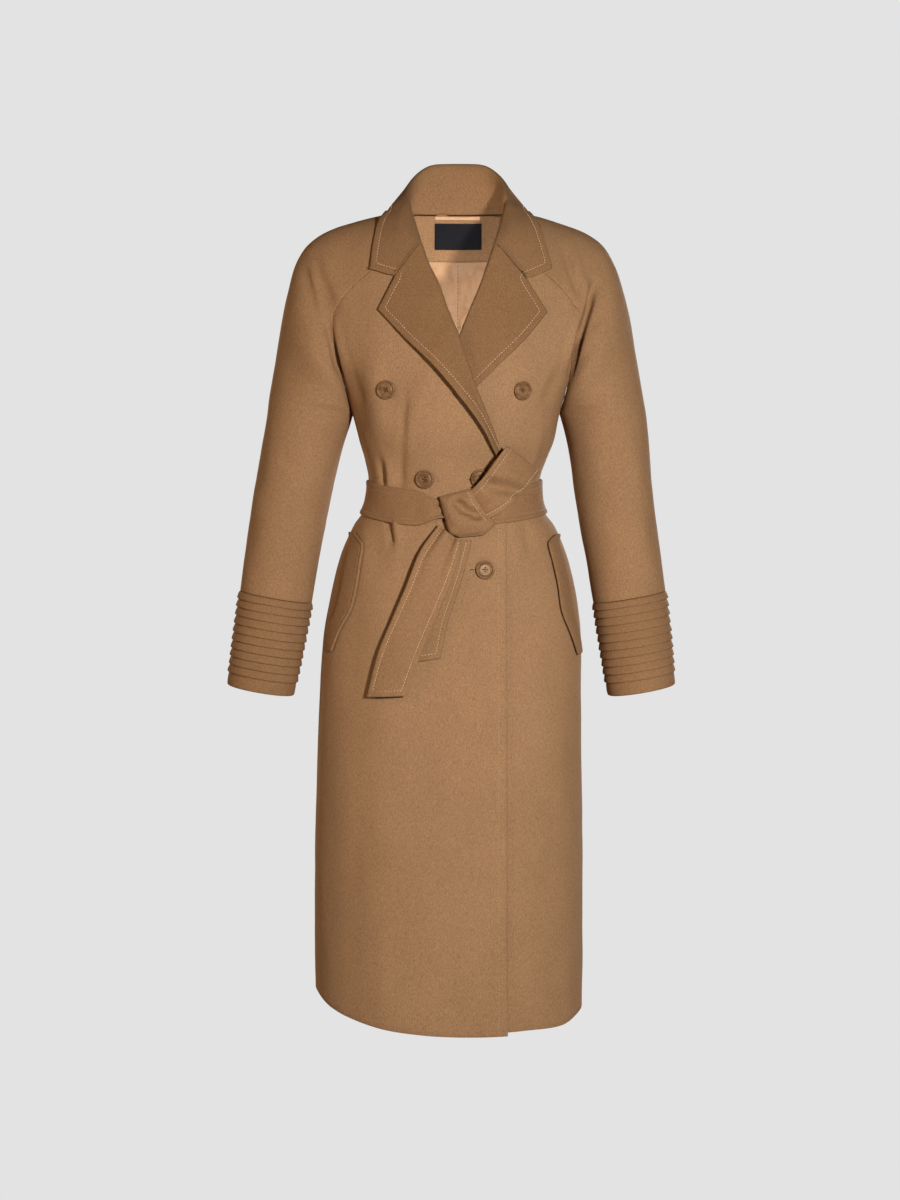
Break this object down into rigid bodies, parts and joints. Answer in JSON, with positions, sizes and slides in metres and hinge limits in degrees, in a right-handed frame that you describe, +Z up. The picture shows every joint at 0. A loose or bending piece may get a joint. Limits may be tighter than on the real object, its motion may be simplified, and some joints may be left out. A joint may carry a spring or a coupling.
{
  "type": "double-breasted coat",
  "caption": "Worn-form belted coat: notched lapels, raglan sleeves with tucked cuffs, slanted pocket welts, a tied belt; neck, hem and cuffs open.",
  "frame": {"origin": "middle of the neck opening at shoulder height, where the worn form is held", "axes": "+Z up, -Y the coat's front, +X the wearer's left"},
  "size_m": [0.6136, 0.3068, 1.1804],
  "materials": {
    "coat_cloth": "brushed wool cloth with a short vertical nap and a soft sheen",
    "lining": "smooth twill lining",
    "label": "dark woven patch, left bare",
    "horn": "brown horn-like buttons with a raised rim, satin"
  },
  "bodies": {
    "root": {"back": "coat_cloth", "front_right": "coat_cloth", "front_left": "coat_cloth", "lapel_right": "coat_cloth", "lapel_left": "coat_cloth", "sleeve_right": "coat_cloth", "sleeve_left": "coat_cloth", "cuff_right": "coat_cloth", "cuff_left": "coat_cloth", "collar": "coat_cloth", "back_neck_facing": "coat_cloth", "pocket_welt_right": "coat_cloth", "pocket_welt_left": "coat_cloth", "belt_band": "coat_cloth", "belt_knot": "coat_cloth", "belt_loop": "coat_cloth", "belt_tail_front": "coat_cloth", "belt_tail_back": "coat_cloth", "lining_back": "lining", "hanger_loop": "lining", "label_patch": "label", "button_upper_right": "horn", "button_upper_left": "horn", "button_waist_right": "horn", "button_waist_left": "horn", "button_lower_left": "horn", "button_lower_right": "horn"}
  },
  "joints": []
}
